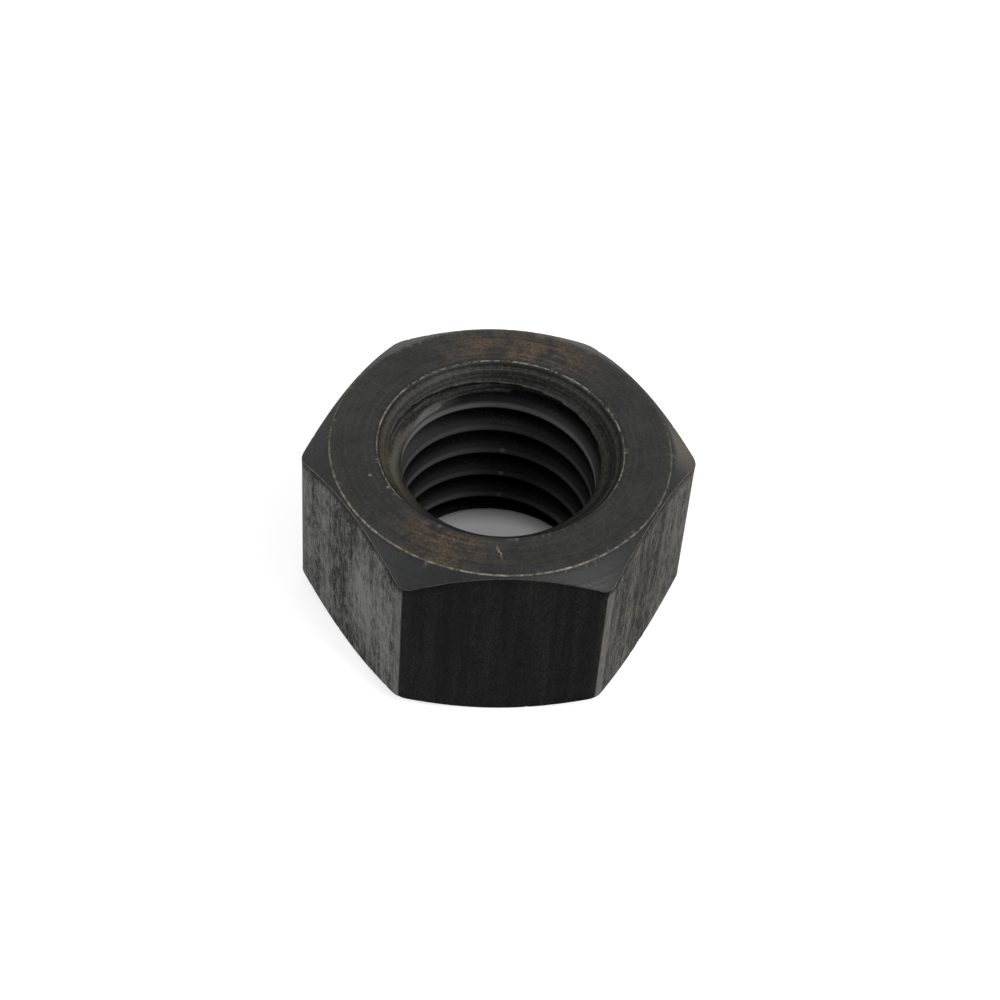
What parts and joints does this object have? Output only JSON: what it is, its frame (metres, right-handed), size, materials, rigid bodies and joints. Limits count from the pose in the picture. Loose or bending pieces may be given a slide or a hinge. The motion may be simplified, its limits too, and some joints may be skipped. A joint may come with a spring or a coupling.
{
  "type": "hex nut",
  "caption": "Blackened steel hexagon nut, chamfered on both ends, with a countersunk right-hand threaded hole right through.",
  "frame": {"origin": "on the thread's axis, level with the lower face that the nut rests on", "axes": "+Z along the thread's axis, up to the countersunk face; +X out through one corner of the hexagon; -Y out through the middle of one flat"},
  "size_m": [0.0206, 0.018, 0.0105],
  "materials": {
    "blackened_steel": "black oxide on drawn and turned steel, satin, worn bright along the edges"
  },
  "bodies": {
    "root": {"nut_body": "blackened_steel"}
  },
  "joints": []
}
